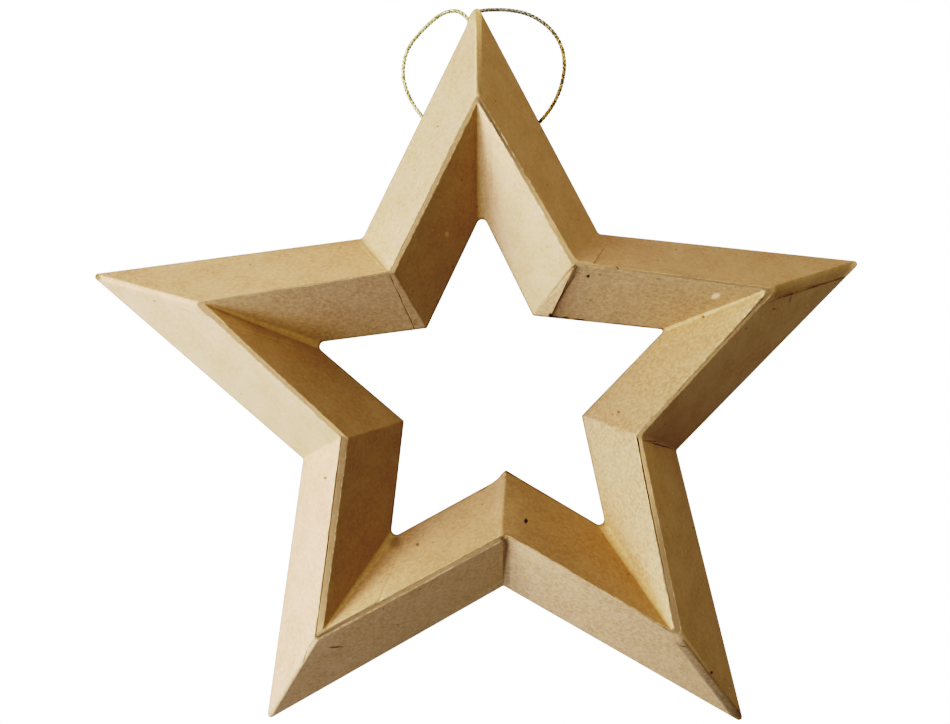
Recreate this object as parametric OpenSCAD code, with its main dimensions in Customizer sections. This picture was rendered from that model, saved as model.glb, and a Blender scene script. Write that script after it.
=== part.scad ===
// Open five-pointed star of kraft card: a hollow folded frame with a gold cord loop for hanging.
// Millimetres. The origin is the mouth of the cord hole in the back, +Z is up and the front faces -Y.

/* [Star] */
// Reach of each point, from the middle of the star to its sharp tip
tip_reach = 105.5; // [90:0.5:130]
// Reach of each notch between two points
notch_reach = 51.5; // [46:0.5:60]
// Width of the frame, from its outer edge to the hole
frame_w = 24.5; // [22:0.5:26]
// Distance of the fold from the outer edge, seen from the front
fold_in = 12.4; // [11:0.1:14]
// Height of the fold over the back face
fold_h = 20; // [14:0.5:28]
// Width of the flat along the fold
land_w = 1.6; // [1.2:0.1:2.4]
// Share of the hand-made unevenness, with 0 for a true star
unevenness = 1; // [0:0.1:1]

/* [Corners] */
// Rounding of the outer tips and of their crests
tip_r = 0.8; // [0.6:0.1:1.6]
// Rounding of the fold at the tips
fold_r = 0.8; // [0.4:0.1:1.2]
// Rounding of the hole's points
hole_tip_r = 1.4; // [0.6:0.1:2]
// Rounding at the notches
notch_r = 0.6; // [0.3:0.1:1.5]

/* [Card] */
// Thickness of the walls' card
wall_t = 0.9; // [0.6:0.1:1.4]
// Thickness of the back panel's card
back_t = 1; // [0.6:0.1:1.6]
// Depth and half width of the groove where the two walls' edges meet
groove = 0.3; // [0.1:0.05:0.4]
// Height of a glued lap over the wall it lies on
lap_t = 0.3; // [0.15:0.05:0.5]

/* [Hanging cord] */
// Thickness of the cord
cord_d = 0.9; // [0.7:0.05:0.95]
// Bore of the cord hole in the back panel
cord_hole_d = 2.4; // [2.2:0.1:3]
// Distance of the cord hole below the top tip
cord_hole_drop = 11; // [10:0.5:14]
// How much wider than the cord hole the knot is
knot_over = 1; // [0.8:0.1:1.6]
// Length of the knot
knot_l = 2.4; // [1.8:0.1:3]

/* [Hidden] */

// The ten corners run clockwise from the top tip, seen from the front: even ones are tips, odd ones notches.
corners = 10;
last = corners - 1;
corner_step = 360 / corners;

// How far the hand-made star strays from a true one at each corner, sideways and up
outer_stray = [
    [0.3, -3.1], [0.1, -0.4], [-1.4, -0.7], [0, -0.2], [2.5, -2.9], [2.6, 1.3], [1.5, 1.8], [0.1, 0.6], [-2.8, 2.1],
    [-1.3, 0.3]
];
fold_stray = [
    [-0.3, 0.1], [0.9, 2.9], [-0.2, 1.6], [2.5, 0.7], [-0.5, 0.5], [-0.6, 0.2], [-0.4, 1.7], [-1.1, 0.9], [1.7, 0.5],
    [0.3, 1.7]
];
hole_stray = [
    [0.4, -0.5], [-1.6, 1.7], [1.7, 1.2], [2.4, 1.6], [1.7, 0.8], [1.8, 1.2], [1.2, 1.5], [0.2, 0.1], [0.8, -0.8],
    [0.5, -0.9]
];

// Glued laps: corner, side of the corner (1 after it, -1 before it), and reach at the base and at the fold
outer_laps = [[0, 1, 4, 4], [1, 1, 3.5, 4], [2, 1, 5, 5], [4, 1, 4, 4], [6, 1, 3.5, 5], [8, -1, 4.5, 5], [9, -1, 3, 3]];
inner_laps = [[0, 1, 5.5, 6], [1, 1, 2.5, 2.5], [6, -1, 5, 15.5], [8, -1, 4.5, 8], [9, -1, 3, 3]];
// Length over which a lap's cut edge drops to the wall
lap_step = 0.15;
// Flat pieces in each rounded corner
arc_n = 4;

// Run and slope of each wall, and what its card and its laps take up seen from the front
wall_rise = fold_h - back_t;
outer_slope = atan2(wall_rise, fold_in - land_w / 2);
inner_slope = atan2(wall_rise, frame_w - fold_in - land_w / 2);
outer_skin = wall_t / sin(outer_slope);
inner_skin = wall_t / sin(inner_slope);
outer_lift = lap_t / sin(outer_slope);
inner_lift = lap_t / sin(inner_slope);
// Rounding inside the walls, which nothing shows
inside_r = 0.3;

// Sides of the cord, and pieces of tube between two points of its route
cord_sides = 8;
cord_pieces = 2;
// Half the spacing of the two strands in the cord hole
strand = 0.5;
// Width of the knot, and the rim of its flat end that bears on the panel round the cord hole
knot_d = cord_hole_d + knot_over;
knot_rim = 0.15;
knot_flat = acos((cord_hole_d + 2 * knot_rim) / knot_d);
// The cord's route behind the star, from the knot round the loop and back to the knot
cord_route = [
    [-strand, -back_t, 0], [-strand, 0.6, 0], [-strand, 2.1, 0.7], [-0.6, 2.8, 2.3], [-0.9, 2.6, 4.3],
    [-1.7, 2.1, 6.5], [-3, 1.7, 8.5], [-5, 1.5, 9.9], [-7.4, 1.5, 10], [-9.8, 1.5, 9.1], [-12.4, 1.5, 7.2],
    [-15, 1.5, 4.8], [-17.7, 1.5, 1.7], [-19.4, 1.5, -2], [-20, 1.5, -6], [-19.2, 1.5, -10.5], [-17, 1.2, -15.2],
    [-13, 1, -20], [-7, 0.8, -23.6], [0, 0.8, -25], [7, 0.8, -24.6], [13, 1, -22], [17.4, 1.2, -18],
    [20.7, 1.5, -12.8], [22.4, 1.5, -7], [22.4, 1.5, -2], [20.9, 1.8, 2.2], [18, 2, 5.8], [13.6, 2.4, 8.7],
    [9, 2.8, 10.2], [5, 3.2, 10.8], [1.6, 3.6, 11.4], [-0.9, 3.9, 10.9], [-2.2, 4.2, 8.9], [-1.8, 4.4, 6.6],
    [-0.5, 4.4, 4.6], [0.4, 3.7, 2.7], [strand, 2.4, 0.9], [strand, 0.6, 0], [strand, -back_t, 0]
];

// Plan geometry: a ring is a list of ten corners [x, z], seen from the front

function unit(v) = v / norm(v);
function turned(v, a) = [v[0] * cos(a) - v[1] * sin(a), v[0] * sin(a) + v[1] * cos(a)];
function blend(a, b, share) = a * (1 - share) + b * share;
function previous(k) = (k + last) % corners;
function along(ring, k) = unit(ring[(k + 1) % corners] - ring[k]);
function outward(v) = [-v[1], v[0]];
function radii(tip, notch) = [for (k = [0:last]) k % 2 == 0 ? tip : notch];

// The ring whose sides lie the distance inside those of the given ring
function inset(ring, distance) = [for (k = [0:last])
    let (a = outward(along(ring, previous(k))), b = outward(along(ring, k)))
    ring[k] - distance * (a + b) / (1 + a * b)];

// The ring with each corner moved by its share of the unevenness
function strayed(ring, stray) = [for (k = [0:last]) ring[k] + unevenness * stray[k]];

true_star = [for (k = [0:last])
    (k % 2 == 0 ? tip_reach : notch_reach) * [sin(k * corner_step), cos(k * corner_step)]];
star_at_middle = strayed(true_star, outer_stray);
middle = [0, cord_hole_drop] - star_at_middle[0];
outer_ring = [for (p = star_at_middle) p + middle];
fold_ring = strayed(inset(outer_ring, fold_in), fold_stray);
hole_ring = strayed(inset(outer_ring, frame_w), hole_stray);

// How far a lap reaches from a corner to the given side, at the base (level 0) or at the fold (level 1)
function lap_reach(laps, k, side, level) =
    let (found = [for (lap = laps) if (lap[0] == k && lap[1] == side) lap])
    len(found) == 0 ? 0 : blend(found[0][2], found[0][3], level);

// Places on the rounded corner k, each as a point, its outward direction and its share of a lap's height
function corner_places(ring, k, r, laps, level) =
    let (
        u = along(ring, previous(k)),
        v = along(ring, k),
        turn = atan2(u[0] * v[1] - u[1] * v[0], u * v),
        hand = sign(turn),
        centre = ring[k] - u * r * tan(abs(turn) / 2) + outward(u) * r * hand,
        before = lap_reach(laps, k, -1, level),
        after = lap_reach(laps, k, 1, level)
    )
    concat(
        before == 0 ? [] : [for (d = [before + lap_step, before]) [ring[k] - u * d, outward(u), d > before ? 0 : 1]],
        [for (j = [0:arc_n])
            let (share = j / arc_n, n = turned(outward(u), turn * share))
            [centre - n * r * hand, n, before > 0 ? 1 - share : after > 0 ? share : 0]],
        after == 0 ? [] : [for (d = [after, after + lap_step]) [ring[k] + v * d, outward(v), d > after ? 0 : 1]]
    );

// The rounded ring as plan points, with its laps lifted outward, or inward where lift is negative
function outline(ring, rounding, laps = [], level = 0, lift = 0) = [for (k = [0:last])
    each [for (place = corner_places(ring, k, rounding[k], laps, level)) place[0] + place[1] * place[2] * lift]];

// The same at a height over the back face
function loop(ring, rounding, laps, level, height, lift = 0) =
    [for (p = outline(ring, rounding, laps, level, lift)) [p[0], -height, p[1]]];

// Closed shell through the given loops, which run once round the wall's section
module shell(loops) {
    size = len(loops[0]);
    count = len(loops);
    polyhedron(
        points = [for (points = loops) each points],
        faces = [for (i = [0:count - 1], j = [0:size - 1])
            let (a = i * size, b = (i + 1) % count * size, next = (j + 1) % size)
            each [[a + j, b + next, b + j], [a + j, a + next, b + next]]],
        convexity = 10
    );
}

// Flat ring of card that closes the back, with the hole for the cord
module back_panel() {
    color("#C4A272") difference() {
        rotate([90, 0, 0]) linear_extrude(back_t) difference() {
            polygon(outline(outer_ring, radii(tip_r, notch_r)));
            polygon(outline(hole_ring, radii(hole_tip_r, notch_r)));
        }
        rotate([90, 0, 0]) translate([0, 0, -back_t]) cylinder(d = cord_hole_d, h = 3 * back_t, $fn = 32);
    }
}

// Outer sloping wall, folded at every tip and notch and glued with laps
module outer_wall() {
    color("#CFAE7E") shell([
        loop(outer_ring, radii(tip_r, notch_r), outer_laps, 0, back_t, outer_lift),
        loop(inset(fold_ring, -land_w / 2), radii(tip_r, notch_r), outer_laps, 1, fold_h, outer_lift),
        loop(inset(fold_ring, -groove), radii(fold_r, notch_r), outer_laps, 1, fold_h),
        loop(fold_ring, radii(fold_r, notch_r), outer_laps, 1, fold_h - groove),
        loop(fold_ring, radii(fold_r, notch_r), outer_laps, 1, fold_h - groove - wall_t),
        loop(inset(outer_ring, outer_skin), radii(inside_r, inside_r), outer_laps, 0, back_t)
    ]);
}

// Inner sloping wall round the hole, whose edge meets the outer wall's edge along the fold
module inner_wall() {
    color("#B98F58") shell([
        loop(inset(hole_ring, -inner_skin), radii(inside_r, inside_r), inner_laps, 0, back_t),
        loop(fold_ring, radii(fold_r, notch_r), inner_laps, 1, fold_h - groove - wall_t),
        loop(fold_ring, radii(fold_r, notch_r), inner_laps, 1, fold_h - groove),
        loop(inset(fold_ring, groove), radii(fold_r, notch_r), inner_laps, 1, fold_h),
        loop(inset(fold_ring, land_w / 2), radii(fold_r, notch_r), inner_laps, 1, fold_h, -inner_lift),
        loop(hole_ring, radii(hole_tip_r, notch_r), inner_laps, 0, back_t, -inner_lift)
    ]);
}

// Knot that holds both ends of the cord against the inside of the back panel
module cord_knot() {
    color("#C9A227") rotate([90, 0, 0]) translate([0, 0, back_t]) rotate_extrude($fn = 32)
        polygon(concat([[0, 0]],
            [for (share = [-1:0.25:1])
                let (a = share * knot_flat)
                [knot_d / 2 * cos(a), knot_l / 2 * (1 + sin(a) / sin(knot_flat))]],
            [[0, knot_l]]));
}

// The route as a smooth line through its points
function smooth(a, b, c, d, t) =
    0.5 * (2 * b + (c - a) * t + (2 * a - 5 * b + 4 * c - d) * t * t + (3 * b - a - 3 * c + d) * t * t * t);
function smooth_line(points, pieces) =
    let (end = len(points) - 1)
    concat([for (i = [0:end - 1], j = [0:pieces - 1])
        smooth(points[max(i - 1, 0)], points[i], points[i + 1], points[min(i + 2, end)], j / pieces)], [points[end]]);

// Sideways directions that turn as little as they can from ring to ring
function sideways(tangents, i, v) =
    let (next = unit(v - tangents[i] * (tangents[i] * v)))
    i == len(tangents) - 1 ? [next] : concat([next], sideways(tangents, i + 1, next));

// Gold cord, one plain tube from the knot round the loop and back
module hanging_cord() {
    line = smooth_line(cord_route, cord_pieces);
    end = len(line) - 1;
    tangents = [for (i = [0:end])
        i == 0 || i == end ? [0, i == 0 ? 1 : -1, 0] : unit(line[i + 1] - line[i - 1])];
    sides = sideways(tangents, 0, [1, 0, 0]);
    rings = [for (i = [0:end], j = [0:cord_sides - 1])
        let (a = 360 * j / cord_sides)
        line[i] + cord_d / 2 * (sides[i] * cos(a) + cross(tangents[i], sides[i]) * sin(a))];
    walls = [for (i = [0:end - 1], j = [0:cord_sides - 1])
        let (a = i * cord_sides, b = a + cord_sides, next = (j + 1) % cord_sides)
        each [[a + j, b + j, b + next], [a + j, b + next, a + next]]];
    ends = [[for (j = [0:cord_sides - 1]) j], [for (j = [0:cord_sides - 1]) (end + 1) * cord_sides - 1 - j]];
    color("#D9B23A") polyhedron(points = rings, faces = concat(walls, ends), convexity = 10);
}

back_panel();
outer_wall();
inner_wall();
cord_knot();
hanging_cord();
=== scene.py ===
# Open star of kraft card on a gold cord loop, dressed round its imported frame.
import math

import bpy
import numpy as np
from mathutils import Matrix, Vector


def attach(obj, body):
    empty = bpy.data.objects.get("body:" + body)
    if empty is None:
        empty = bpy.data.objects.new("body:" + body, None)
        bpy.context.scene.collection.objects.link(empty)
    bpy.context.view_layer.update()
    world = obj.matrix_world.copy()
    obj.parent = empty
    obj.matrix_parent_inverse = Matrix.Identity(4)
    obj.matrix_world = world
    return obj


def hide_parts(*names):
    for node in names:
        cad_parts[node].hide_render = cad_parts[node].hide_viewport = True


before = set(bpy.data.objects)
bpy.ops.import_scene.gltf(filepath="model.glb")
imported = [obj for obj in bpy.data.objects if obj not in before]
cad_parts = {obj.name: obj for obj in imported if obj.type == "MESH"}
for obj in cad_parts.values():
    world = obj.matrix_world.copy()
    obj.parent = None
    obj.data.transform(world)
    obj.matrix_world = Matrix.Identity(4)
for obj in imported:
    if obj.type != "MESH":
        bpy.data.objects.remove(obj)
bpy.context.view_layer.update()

# Sizes in millimetres, as in the construction; MM turns them into metres
MM = 0.001
TIP_REACH = 105.5
NOTCH_REACH = 51.5
FRAME_W = 24.5
FOLD_IN = 12.4
FOLD_H = 20.0
LAND_W = 1.6
WALL_T = 0.9
BACK_T = 1.0
GROOVE = 0.3
LAP_T = 0.3
TIP_R = 0.8
FOLD_R = 0.8
HOLE_TIP_R = 1.4
NOTCH_R = 0.6
INSIDE_R = 0.3
CORD_HOLE_D = 2.4
CORD_HOLE_DROP = 11.0

# The ten corners run clockwise from the top tip, seen from the front: even ones are tips, odd ones notches
CORNERS = 10
OUTER_STRAY = [
    (0.3, -3.1), (0.1, -0.4), (-1.4, -0.7), (0, -0.2), (2.5, -2.9),
    (2.6, 1.3), (1.5, 1.8), (0.1, 0.6), (-2.8, 2.1), (-1.3, 0.3),
]
FOLD_STRAY = [
    (-0.3, 0.1), (0.9, 2.9), (-0.2, 1.6), (2.5, 0.7), (-0.5, 0.5),
    (-0.6, 0.2), (-0.4, 1.7), (-1.1, 0.9), (1.7, 0.5), (0.3, 1.7),
]
HOLE_STRAY = [
    (0.4, -0.5), (-1.6, 1.7), (1.7, 1.2), (2.4, 1.6), (1.7, 0.8),
    (1.8, 1.2), (1.2, 1.5), (0.2, 0.1), (0.8, -0.8), (0.5, -0.9),
]

# Glued laps: corner, side of the corner, reach at the base and at the fold, and dirt and painted shadow along
# the cut edge
OUTER_LAPS = [
    (1, 1, 3.5, 4, 0.06), (2, 1, 5, 5, 0.55), (6, 1, 3.5, 5, 0.0), (8, -1, 4.5, 5, 0.05),
    (9, -1, 1.8, 0.7, 0.25),
]
INNER_LAPS = [
    (0, 1, 5.5, 6, 0.12), (1, 1, 4.4, 0.4, 0.0), (6, -1, 5, 15.5, 0.1), (8, -1, 4.5, 8, 0.08),
    (9, -1, 3, 1.2, 0.8),
]

# The cord's route behind the star, from the knot round the loop and back to the knot
STRAND = 0.5
CORD_ROUTE = [
    (-STRAND, -BACK_T, 0), (-STRAND, 0.6, 0), (-STRAND, 2.1, 0.7), (-0.6, 2.8, 2.3), (-0.9, 2.6, 4.3),
    (-1.7, 2.1, 6.5), (-3, 1.7, 8.5), (-5, 1.5, 9.9), (-7.4, 1.5, 10), (-9.8, 1.5, 9.1), (-12.4, 1.5, 7.2),
    (-15, 1.5, 4.8), (-17.7, 1.5, 1.7), (-19.4, 1.5, -2), (-20, 1.5, -6), (-19.2, 1.5, -10.5),
    (-17, 1.2, -15.2), (-13, 1, -20), (-7, 0.8, -23.6), (0, 0.8, -25), (7, 0.8, -24.6), (13, 1, -22),
    (17.4, 1.2, -18), (20.7, 1.5, -12.8), (22.4, 1.5, -7), (22.4, 1.5, -2), (20.9, 1.8, 2.2), (18, 2, 5.8),
    (13.6, 2.4, 8.7), (9, 2.8, 10), (5, 3.2, 10.4), (1.8, 3.6, 10.4), (-0.3, 3.9, 9.9), (-1.6, 4.2, 8.4),
    (-1.5, 4.4, 6.4), (-0.5, 4.4, 4.6), (0.4, 3.7, 2.7), (STRAND, 2.4, 0.9), (STRAND, 0.6, 0),
    (STRAND, -BACK_T, 0),
]

# Camera: square to the back, a little rolled, as the photograph has it
FOCAL_PX = 1786.0
IMAGE_W = 950.0
SENSOR_W = 36.0
CAMERA_AT = (-3.39, -470.0, -82.71)
CAMERA_ROLL = -1.75


def make_camera():
    data = bpy.data.cameras.new("camera")
    data.sensor_width = SENSOR_W
    data.lens = FOCAL_PX / IMAGE_W * SENSOR_W
    data.clip_start = 0.01
    camera = bpy.data.objects.new("camera", data)
    turn = Matrix.Rotation(math.pi / 2, 4, "X") @ Matrix.Rotation(math.radians(CAMERA_ROLL), 4, "Z")
    camera.matrix_world = Matrix.Translation(Vector(CAMERA_AT) * MM) @ turn
    bpy.context.collection.objects.link(camera)
    bpy.context.scene.camera = camera


make_camera()


# Small tools for numbers

def unit(v):
    return v / np.linalg.norm(v)


def rows_unit(v):
    return v / np.maximum(np.linalg.norm(v, axis=1), 1e-9)[:, None]


def smoothstep(low, high, x):
    t = np.clip((x - low) / (high - low), 0, 1)
    return t * t * (3 - 2 * t)


def lattice(ix, iy, iz, seed):
    """One repeatable number from -1 to 1 for each whole-number place."""
    h = (ix * 374761393 + iy * 668265263 + iz * 1440662683 + seed * 974634777) & 0xFFFFFFFF
    h = ((h ^ (h >> 13)) * 1274126177) & 0xFFFFFFFF
    return ((h ^ (h >> 16)) & 0xFFFF) / 32767.5 - 1


def noise(points, size, seed):
    """Smooth value noise from -1 to 1 at points in millimetres, with blobs of the given size."""
    p = np.asarray(points, float) / size
    base = np.floor(p).astype(np.int64)
    f = p - base
    f = f * f * (3 - 2 * f)
    total = np.zeros(len(p))
    for dx in (0, 1):
        wx = f[:, 0] if dx else 1 - f[:, 0]
        for dy in (0, 1):
            wy = f[:, 1] if dy else 1 - f[:, 1]
            for dz in (0, 1):
                wz = f[:, 2] if dz else 1 - f[:, 2]
                total += wx * wy * wz * lattice(base[:, 0] + dx, base[:, 1] + dy, base[:, 2] + dz, seed)
    return total


def layered(points, layers):
    """Sum of noises, each given by the size of its blobs, its depth and its seed."""
    return sum(noise(points, size, seed) * depth for size, depth, seed in layers)


# Plan geometry: a ring is ten corners [x, z], seen from the front

def along(ring, k):
    return unit(ring[(k + 1) % CORNERS] - ring[k])


def side_length(ring, k):
    return np.linalg.norm(ring[(k + 1) % CORNERS] - ring[k])


def outward(v):
    return np.array([-v[1], v[0]])


def inset(ring, distance):
    """The ring whose sides lie inside those of the given ring, by one distance or by one for each side."""
    d = np.broadcast_to(distance, (CORNERS,))
    inner = []
    for k in range(CORNERS):
        a = outward(along(ring, k - 1))
        b = outward(along(ring, k))
        inner.append(ring[k] - np.linalg.solve(np.array([a, b]), [d[k - 1], d[k]]))
    return np.array(inner)


def true_star():
    angles = np.radians(np.arange(CORNERS) * 360 / CORNERS)
    reach = np.where(np.arange(CORNERS) % 2 == 0, TIP_REACH, NOTCH_REACH)
    return np.column_stack([reach * np.sin(angles), reach * np.cos(angles)])


STAR = true_star() + np.array(OUTER_STRAY)
OUTER_RING = STAR + np.array([0, CORD_HOLE_DROP]) - STAR[0]
FOLD_RING = inset(OUTER_RING, FOLD_IN) + np.array(FOLD_STRAY)
HOLE_RING = inset(OUTER_RING, FRAME_W) + np.array(HOLE_STRAY)

WALL_RISE = FOLD_H - BACK_T
OUTER_SLOPE = math.atan2(WALL_RISE, FOLD_IN - LAND_W / 2)
INNER_SLOPE = math.atan2(WALL_RISE, FRAME_W - FOLD_IN - LAND_W / 2)


def radii(tip, notch, own=None):
    """Rounding of the ten corners, with some corners' own."""
    return [(own or {}).get(k, tip if k % 2 == 0 else notch) for k in range(CORNERS)]


# Corners that the hand-folded card rounds more softly
OUTLINE_SOFT = {1: 1.6, 3: 0.9, 7: 0.9, 9: 1.8}
VALLEY_SOFT = {1: 2.6, 3: 1.8, 7: 1.2, 9: 1.6}
HOLE_SHARP = {2: 0.6}
INSIDE_SOFT = {k: 0.3 for k in range(0, CORNERS, 2)}


# Columns round a ring: rounded corners, laps and evenly spread columns along each side

ARC_PIECES = 10
SIDE_COLUMNS = 120
# Columns near a corner: share of the way to a lap's cut edge, and distance past that
NEAR_LAP = [
    (0.3, 0.0), (0.65, 0.0), (1.0, -0.7), (1.0, -0.3), (1.0, -0.1), (1.0, 0.0), (1.0, 0.12), (1.0, 0.3),
    (1.0, 0.7),
]
NEAR_CORNER = [(0.0, 0.3), (0.0, 0.7), (0.0, 1.2)]
# How far each column at a cut edge follows its raggedness, and the mark of a column that is at none
EDGE_COLUMNS = {(1.0, -0.3): 0.6, (1.0, -0.1): 1.0, (1.0, 0.0): 1.0, (1.0, 0.12): 1.0, (1.0, 0.3): 0.6}
NO_EDGE = 9.0
# Least distance between two columns, and columns over which a table is eased at a corner
LEAST_STEP = 0.02
EASE = 6


def find_lap(laps, k, side):
    """Reach at the base and at the fold, and dirt, of the lap on one side of corner k."""
    for corner, where, *numbers in laps:
        if corner == k and where == side:
            return numbers
    return None


def lap_reach(laps, k, side, level):
    lap = find_lap(laps, k, side)
    return lap[0] + (lap[1] - lap[0]) * level if lap else 0.0


class Columns:
    """Plan points round a ring with, for each, its outward direction, lap lift, wobble and place."""

    def __init__(self, ring, rounding, laps, level):
        self.ring = ring
        self.rounding = rounding
        self.laps = laps
        self.level = level
        self.found = []
        for k in range(CORNERS):
            self.add_corner(k)
            self.add_side(k)
        (self.points, self.out, self.lift, self.wobble, self.side, self.along, self.share, self.edge,
         self.dirt) = (np.array(values) for values in zip(*self.found))

    def put(self, point, out, lift, wobble, side, direction, share, edge=NO_EDGE, dirt=0.0):
        self.found.append((point, out, lift, wobble, side, direction, share, edge, dirt))

    def bend(self, k):
        """Directions before and after corner k, how far it turns and how far its rounding reaches."""
        u = along(self.ring, k - 1)
        v = along(self.ring, k)
        turn = math.atan2(u[0] * v[1] - u[1] * v[0], u @ v)
        return u, v, turn, self.rounding[k] * math.tan(abs(turn) / 2)

    def near(self, k, side):
        """Distances of the columns close to corner k on one side of it, from the corner outwards."""
        start = self.bend(k)[3]
        reach = lap_reach(self.laps, k, side, self.level)
        places = NEAR_LAP if reach else NEAR_CORNER
        reach = max(reach, start)
        found = []
        last = start
        for share, off in places:
            last = max(start + (reach - start) * share + off, last + LEAST_STEP)
            found.append((last, (share, off), places is NEAR_LAP))
        return found

    def add_near(self, k, side):
        u, v, _, _ = self.bend(k)
        direction = v if side > 0 else u
        owner = k if side > 0 else (k - 1) % CORNERS
        length = side_length(self.ring, owner)
        places = self.near(k, side)
        for distance, key, lapped in places if side > 0 else reversed(places):
            lift = 1.0 if lapped and key[1] <= 0 else 0.0
            wobble = EDGE_COLUMNS.get(key, 0.0) if lapped else 0.0
            edge = key[1] if wobble else NO_EDGE
            dirt = find_lap(self.laps, k, side)[2] if wobble else 0.0
            share = distance / length if side > 0 else 1 - distance / length
            place = self.ring[k] + direction * distance * side
            self.put(place, outward(direction), lift, wobble, owner, direction, share, edge, dirt)

    def add_corner(self, k):
        before = lap_reach(self.laps, k, -1, self.level) > 0
        after = lap_reach(self.laps, k, 1, self.level) > 0
        self.add_near(k, -1)
        u, _, turn, start = self.bend(k)
        bulge = self.rounding[k] * math.copysign(1, turn)
        centre = self.ring[k] - u * start + outward(u) * bulge
        first = outward(u)
        for j in range(ARC_PIECES + 1):
            share = j / ARC_PIECES
            c = math.cos(turn * share)
            s = math.sin(turn * share)
            n = np.array([first[0] * c - first[1] * s, first[0] * s + first[1] * c])
            lift = 1 - share if before else share if after else 0.0
            owner = k if share > 0.5 else (k - 1) % CORNERS
            way = np.array([n[1], -n[0]])
            self.put(centre - n * bulge, n, lift, 0.0, owner, way, 0.0 if owner == k else 1.0)
        self.add_near(k, 1)

    def add_side(self, k):
        start = self.near(k, 1)[-1][0]
        end = self.near((k + 1) % CORNERS, -1)[-1][0]
        v = along(self.ring, k)
        length = side_length(self.ring, k)
        for j in range(1, SIDE_COLUMNS):
            distance = start + (length - end - start) * j / SIDE_COLUMNS
            self.put(self.ring[k] + v * distance, outward(v), 0.0, 0.0, k, v, distance / length)


def by_side(columns, table):
    """A number for each column, from each side's evenly spread numbers, eased over the corners."""
    value = np.zeros(len(columns.side))
    for k, numbers in enumerate(table):
        on = columns.side == k
        value[on] = np.interp(columns.share[on], np.linspace(0, 1, len(numbers)), numbers)
    padded = np.concatenate([value[-EASE:], value, value[:EASE]])
    return np.convolve(padded, np.ones(2 * EASE + 1) / (2 * EASE + 1), "valid")


def station(ring, rounding, laps, level, height, lift=0.0, widen=None):
    c = Columns(ring, rounding, laps, level)
    plan = c.points + c.out * (c.lift * lift)[:, None]
    if widen is not None:
        plan = plan + c.out * by_side(c, widen)[:, None]
    return np.column_stack([plan[:, 0], np.full(len(plan), -height), plan[:, 1]]), c


# Rows across a wall: straight stretches and rounded folds between the stations

def straight(a, b, shares):
    return [a + (b - a) * t for t in shares]


def rounded(before, at, after, reach, pieces, reach_after=None):
    """Rows of a fold at a station, with the points where it starts and ends."""
    a = at + rows_unit(before - at) * np.reshape(reach, (-1, 1))
    c = at + rows_unit(after - at) * np.reshape(reach if reach_after is None else reach_after, (-1, 1))
    shares = np.linspace(0, 1, pieces + 1)
    return [a * (1 - t) ** 2 + at * 2 * t * (1 - t) + c * t ** 2 for t in shares]


def running(steps):
    """Distance gone at the start and after each step."""
    return np.concatenate([[0], np.cumsum(steps)])


def grid_mesh(name, grid, marks):
    """Closed mesh from a grid of rows that run round the ring, with named numbers for each of its points."""
    count, size = grid.shape[:2]
    index = np.arange(count * size).reshape(count, size)
    a = index
    b = np.roll(index, -1, axis=1)
    c = np.roll(b, -1, axis=0)
    d = np.roll(index, -1, axis=0)
    quads = np.stack([a, b, c, d], axis=-1).reshape(-1, 4)
    mesh = bpy.data.meshes.new(name)
    mesh.vertices.add(count * size)
    mesh.vertices.foreach_set("co", (grid.reshape(-1, 3) * MM).ravel())
    mesh.loops.add(quads.size)
    mesh.loops.foreach_set("vertex_index", quads.ravel())
    mesh.polygons.add(len(quads))
    mesh.polygons.foreach_set("loop_start", np.arange(len(quads)) * 4)
    mesh.polygons.foreach_set("use_smooth", np.ones(len(quads), bool))
    mesh.update(calc_edges=True)
    # Flat map of the card in millimetres: round the ring, and across it
    middle = grid[: count // 2].mean(axis=0)
    round_way = running(np.linalg.norm(np.roll(middle, -1, axis=0) - middle, axis=1))
    across = running(np.linalg.norm(np.roll(grid, -1, axis=0) - grid, axis=2).mean(axis=1))
    i, j = np.divmod(np.arange(count * size), size)
    u = np.stack([round_way[j], round_way[j + 1], round_way[j + 1], round_way[j]], axis=-1)
    v = np.stack([across[i], across[i], across[i + 1], across[i + 1]], axis=-1)
    layer = mesh.uv_layers.new(name="card")
    layer.data.foreach_set("uv", np.stack([u, v], axis=-1).ravel())
    for key, values in marks.items():
        mesh.attributes.new(key, "FLOAT", "POINT").data.foreach_set("value", np.asarray(values).reshape(-1))
    obj = bpy.data.objects.new(name, mesh)
    bpy.context.collection.objects.link(obj)
    return obj


def point_normals(grid):
    """Unit normals of a closed grid of points, in the order of the grid."""
    du = np.roll(grid, -1, axis=1) - np.roll(grid, 1, axis=1)
    dv = np.roll(grid, -1, axis=0) - np.roll(grid, 1, axis=0)
    n = np.cross(du, dv)
    return n / np.maximum(np.linalg.norm(n, axis=2), 1e-9)[:, :, None]


# Card walls

# Rows of a face, as shares of the way up it
FACE_SHARES = np.concatenate([
    [0.004, 0.012, 0.025, 0.045], np.linspace(0.07, 0.93, 24), [0.955, 0.975, 0.99],
])
# Roundings of the base, of the groove's lips and of its corners, and rows in a fold
BASE_ROUND = 0.18
LIP_ROUND = 0.06
GROOVE_R = 0.35
BEND_PIECES = 5
# Bow of the faces, with the size of its blobs, and slow waves and small unevenness of pressed card
BOW = 0.16
BOW_SIZE = 45.0
WAVES = [(24.0, 0.12, 11), (9.0, 0.03, 12), (3.5, 0.008, 13)]
# Raggedness of the laps' cut edges
LAP_RAG = 0.16
LAP_RAGS = [(1.1, 0.6, 21), (3.2, 1.0, 22)]
# Lines along the crests: tip, distance from the crest, half width, and strength of the painted shadow and of
# the painted highlight
CREST_LINES = [
    (0, -0.45, 0.2, 0.0, 0.5), (2, 2.8, 0.15, 0.5, 0.0), (4, 1.35, 0.3, 0.0, 0.2), (4, -0.75, 0.25, 0.5, 0.0),
]
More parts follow.
